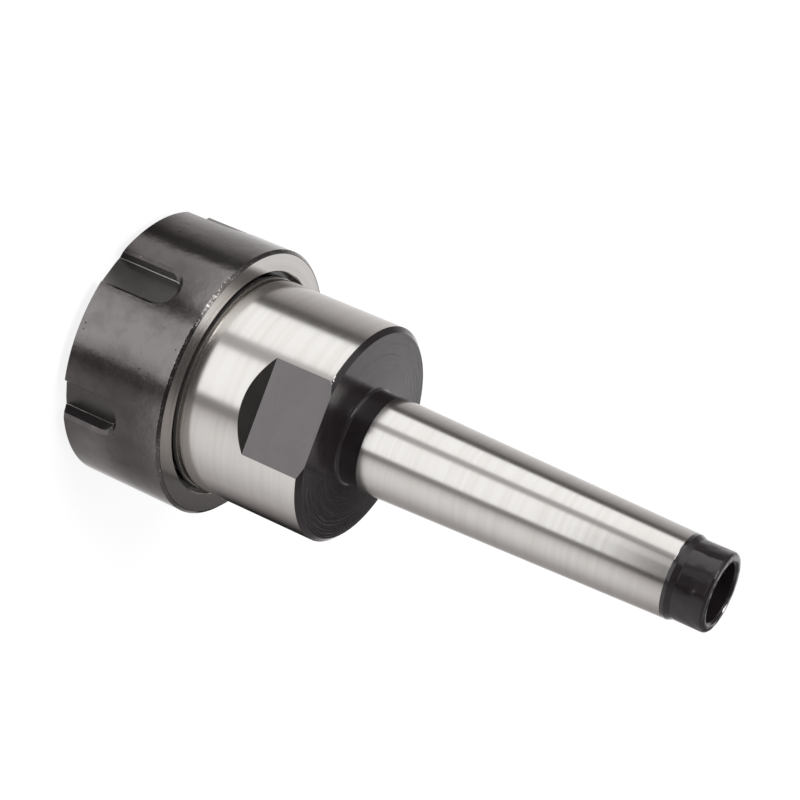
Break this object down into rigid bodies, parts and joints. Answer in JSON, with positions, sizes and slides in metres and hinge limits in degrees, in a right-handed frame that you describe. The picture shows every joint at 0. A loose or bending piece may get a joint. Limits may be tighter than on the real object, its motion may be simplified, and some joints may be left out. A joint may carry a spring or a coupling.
{
  "type": "collet chuck holder",
  "caption": "Spring collet chuck on a self-holding taper shank: a slotted clamping nut screws onto a body with wrench flats and squeezes a slit collet.",
  "frame": {"origin": "on the axis, at the flat front face of the clamping nut, on which the holder stands", "axes": "+Z along the axis from the nut towards the shank's small end; -Y out of one of the two wrench flats"},
  "size_m": [0.05, 0.05, 0.117],
  "materials": {
    "black_oxide": "turned steel with a satin black oxide finish",
    "spring_steel": "hardened spring steel, ground bright",
    "ground_steel": "hardened steel, ground bright on the body and the taper, black oxide on neck, tip and flats"
  },
  "bodies": {
    "nut": {"clamping_nut": "black_oxide"},
    "collet": {"collet": "spring_steel"},
    "holder": {"holder_body": "ground_steel"}
  },
  "joints": [
    {"name": "nut_turn", "type": "hinge", "parent": "nut", "child": "collet", "pos_m": [0, 0, 0], "axis": [0, 0, 1], "range_deg": [0, 2520]},
    {"name": "holder_rise", "type": "slide", "parent": "collet", "child": "holder", "axis": [0, 0, 1], "range_m": [0, 0.0106]}
  ],
  "couplings": [
    {"joint": "holder_rise", "follows": "nut_turn", "m_per_rad": 0.00023873}
  ]
}
